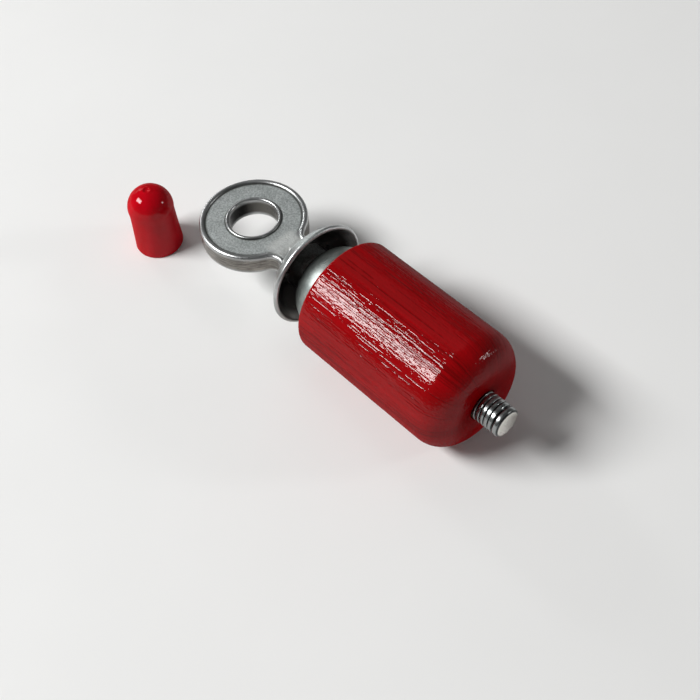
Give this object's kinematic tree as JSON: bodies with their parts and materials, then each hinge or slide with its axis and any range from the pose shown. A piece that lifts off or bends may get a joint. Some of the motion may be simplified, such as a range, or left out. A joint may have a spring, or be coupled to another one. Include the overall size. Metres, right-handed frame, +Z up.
{
  "type": "bird call",
  "caption": "Twist bird call: a cast ring handle and friction plug turn in a painted wooden barrel on a threaded stud, with a small cap of rosin beside it.",
  "frame": {"origin": "on the surface that the set stands on, under the middle of the call and its cap together", "axes": "+X along the call from the ring to the threaded end, +Z up, the ring flat and level"},
  "size_m": [0.077, 0.0228, 0.0196],
  "materials": {
    "cast_zinc": "tumbled cast zinc, satin, brighter on beads and lip",
    "satin_zinc": "turned satin zinc",
    "steel": "bright steel with a rolled thread",
    "painted_birch": "dark red lacquer over open birch grain",
    "red_vinyl": "glossy dip-moulded vinyl",
    "rosin": "clear amber resin, poured"
  },
  "bodies": {
    "handle": {"ring_handle": "cast_zinc", "friction_plug": "satin_zinc"},
    "stud": {"tail_stud": "steel"},
    "barrel": {"wood_barrel": "painted_birch"},
    "cap": {"vinyl_cap": "red_vinyl", "rosin_cake": "rosin"}
  },
  "joints": [
    {"name": "twist", "type": "hinge", "parent": "handle", "child": "stud", "pos_m": [0.00418, 0.00156, 0.0098], "axis": [1, 0, 0], "continuous": true},
    {"name": "pull_off", "type": "slide", "parent": "stud", "child": "barrel", "axis": [1, 0, 0], "range_m": [0, 0.034]},
    {"name": "cap_lift", "type": "slide", "parent": "handle", "child": "cap", "axis": [0, 0, 1], "range_m": [0, 0.03]}
  ]
}
